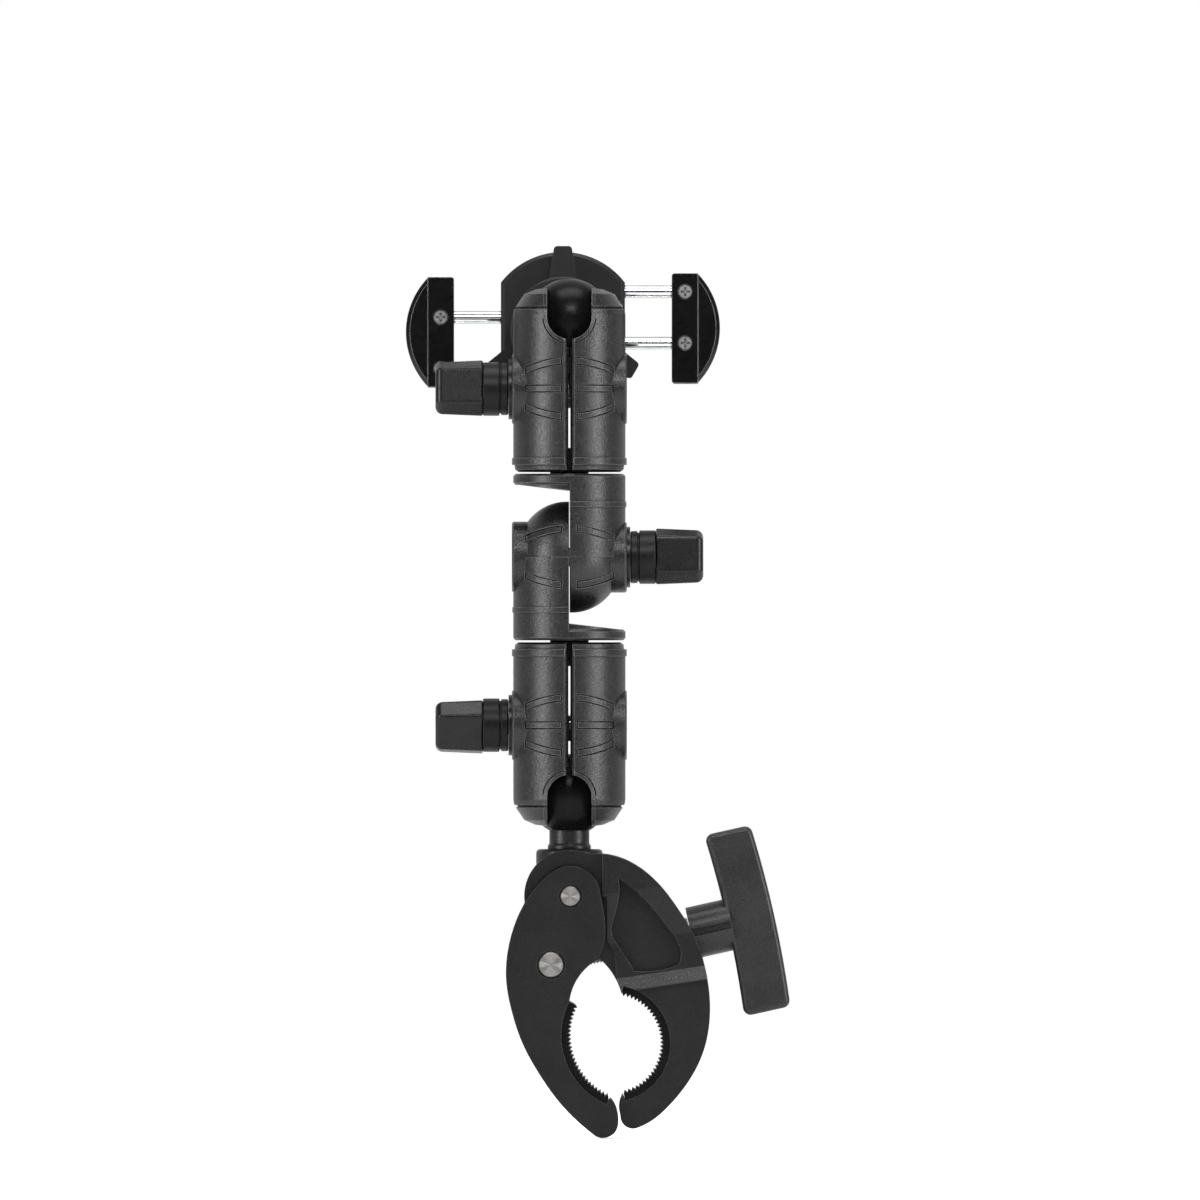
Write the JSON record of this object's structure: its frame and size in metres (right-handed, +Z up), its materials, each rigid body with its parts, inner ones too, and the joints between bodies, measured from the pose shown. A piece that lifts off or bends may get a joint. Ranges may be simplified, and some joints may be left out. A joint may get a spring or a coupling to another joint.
{
  "type": "phone mount",
  "caption": "Phone mount with a screw claw for a handlebar, two split ball arms joined by a bending elbow, and a sprung cradle whose jaws slide on rods to hold a phone",
  "frame": {"origin": "axis of the clamped bar, half way through the claw's depth", "axes": "+X across the mount from the moving jaw towards the clamp handle, +Y towards the phone's side, +Z up the arms"},
  "size_m": [0.1191, 0.0792, 0.2766],
  "materials": {
    "cast_body": "black powder-coated cast aluminium, fine grain",
    "handle_coat": "dark grey satin powder coat",
    "steel": "turned bare steel",
    "chrome_rod": "polished chrome",
    "rubber": "matt black rubber",
    "nylon": "glass-filled black nylon, satin and sparkly",
    "knob_plastic": "smooth black plastic",
    "cradle_plastic": "matt black plastic, fine texture",
    "jaw_plastic": "gloss black plastic",
    "aluminium": "turned aluminium",
    "brass": "turned brass",
    "spring_steel": "plain spring wire"
  },
  "bodies": {
    "clamp_base": {"clamp_frame": "cast_body", "fixed_jaw_pad": "rubber", "jaw_pivot_pin": "steel", "lower_ball_stud": "cast_body"},
    "jaw": {"moving_jaw": "cast_body", "moving_jaw_pad": "rubber"},
    "cross_nut": {"barrel_nut": "steel"},
    "screw_seat": {"thrust_washer": "steel"},
    "handle": {"t_handle": "handle_coat", "clamp_screw": "steel"},
    "lower_ball": {"lower_ball_cover": "rubber"},
    "lower_arm": {"lower_left_shell": "nylon", "lower_right_shell": "nylon", "lower_spring": "spring_steel", "lower_bolt": "steel", "lower_knob_washer": "knob_plastic"},
    "lower_knob": {"lower_knob": "knob_plastic", "lower_knob_collar": "knob_plastic", "lower_knob_insert": "brass"},
    "elbow_low": {"lower_elbow": "nylon", "elbow_bolt": "steel"},
    "elbow_high": {"upper_elbow": "nylon", "elbow_knob_washer": "knob_plastic"},
    "elbow_knob": {"elbow_knob": "knob_plastic", "elbow_knob_collar": "knob_plastic", "elbow_knob_insert": "brass"},
    "upper_arm": {"upper_left_shell": "nylon", "upper_right_shell": "nylon", "upper_spring": "spring_steel", "upper_bolt": "steel", "upper_knob_washer": "knob_plastic"},
    "upper_knob": {"upper_knob": "knob_plastic", "upper_knob_collar": "knob_plastic", "upper_knob_insert": "brass"},
    "adapter": {"ball_adapter": "aluminium", "upper_ball_cover": "rubber"},
    "cradle": {"cradle_back": "cradle_plastic", "cradle_front": "cradle_plastic", "body_screws": "steel", "front_pad": "rubber", "return_spring": "spring_steel"},
    "ring_nut": {"ring_nut": "cradle_plastic"},
    "left_jaw": {"left_jaw": "jaw_plastic", "left_jaw_grip": "rubber", "left_jaw_screws": "steel", "left_upper_rod": "chrome_rod", "left_lower_rod": "chrome_rod"},
    "right_jaw": {"right_jaw": "jaw_plastic", "right_jaw_grip": "rubber", "right_jaw_screws": "steel", "right_upper_rod": "chrome_rod", "right_lower_rod": "chrome_rod"}
  },
  "joints": [
    {"name": "handle_spin", "type": "hinge", "parent": "screw_seat", "child": "handle", "pos_m": [0.02308, 0, 0.03371], "axis": [0.9763, 0, 0.2164], "range_deg": [0, 3420]},
    {"name": "jaw_open", "type": "hinge", "parent": "clamp_base", "child": "jaw", "pos_m": [-0.0129, 0, 0.0456], "axis": [0, 1, 0], "range_deg": [0, 33.5]},
    {"name": "screw_swing", "type": "hinge", "parent": "clamp_base", "child": "screw_seat", "pos_m": [0.02308, 0, 0.03371], "axis": [0, 1, 0], "range_deg": [0, 9.87]},
    {"name": "cross_nut_turn", "type": "hinge", "parent": "jaw", "child": "cross_nut", "pos_m": [-0.0189, 0, 0.0244], "axis": [0, 1, 0], "range_deg": [-23.93, 0]},
    {"name": "lower_swivel", "type": "hinge", "parent": "clamp_base", "child": "lower_ball", "pos_m": [-0.0132, 0, 0.0769], "axis": [0, 0, 1], "continuous": true},
    {"name": "lower_tilt", "type": "hinge", "parent": "lower_ball", "child": "lower_arm", "pos_m": [-0.0132, 0, 0.0769], "axis": [1, 0, 0], "range_deg": [-80, 80]},
    {"name": "lower_knob_turn", "type": "hinge", "parent": "lower_arm", "child": "lower_knob", "pos_m": [-0.0132, 0, 0.0985], "axis": [1, 0, 0], "continuous": true},
    {"name": "lower_disc_swivel", "type": "hinge", "parent": "lower_arm", "child": "elbow_low", "pos_m": [-0.0132, 0, 0.126], "axis": [0, 0, 1], "continuous": true},
    {"name": "elbow_bend", "type": "hinge", "parent": "elbow_low", "child": "elbow_high", "pos_m": [-0.0132, 0, 0.1506], "axis": [1, 0, 0], "range_deg": [-90, 90]},
    {"name": "elbow_knob_turn", "type": "hinge", "parent": "elbow_high", "child": "elbow_knob", "pos_m": [-0.0132, 0, 0.1506], "axis": [1, 0, 0], "continuous": true},
    {"name": "upper_disc_swivel", "type": "hinge", "parent": "elbow_high", "child": "upper_arm", "pos_m": [-0.0132, 0, 0.175], "axis": [0, 0, 1], "continuous": true},
    {"name": "upper_knob_turn", "type": "hinge", "parent": "upper_arm", "child": "upper_knob", "pos_m": [-0.0132, 0, 0.2027], "axis": [1, 0, 0], "continuous": true},
    {"name": "upper_tilt", "type": "hinge", "parent": "upper_arm", "child": "adapter", "pos_m": [-0.0132, 0, 0.2243], "axis": [1, 0, 0], "range_deg": [0, 95]},
    {"name": "cradle_turn", "type": "hinge", "parent": "adapter", "child": "cradle", "pos_m": [-0.0152, 0.0265, 0.2214], "axis": [0, 1, 0], "continuous": true},
    {"name": "ring_nut_turn", "type": "hinge", "parent": "cradle", "child": "ring_nut", "pos_m": [-0.0152, 0.026, 0.2214], "axis": [0, 1, 0], "continuous": true},
    {"name": "left_jaw_slide", "type": "slide", "parent": "cradle", "child": "left_jaw", "axis": [1, 0, 0], "range_m": [-0.006, 0.014]},
    {"name": "right_jaw_slide", "type": "slide", "parent": "cradle", "child": "right_jaw", "axis": [1, 0, 0], "range_m": [-0.014, 0.006]}
  ],
  "couplings": [
    {"joint": "jaw_open", "follows": "handle_spin", "ratio": 0.0096491},
    {"joint": "screw_swing", "follows": "handle_spin", "ratio": 0.0027982},
    {"joint": "cross_nut_turn", "follows": "handle_spin", "ratio": -0.0068509}
  ]
}
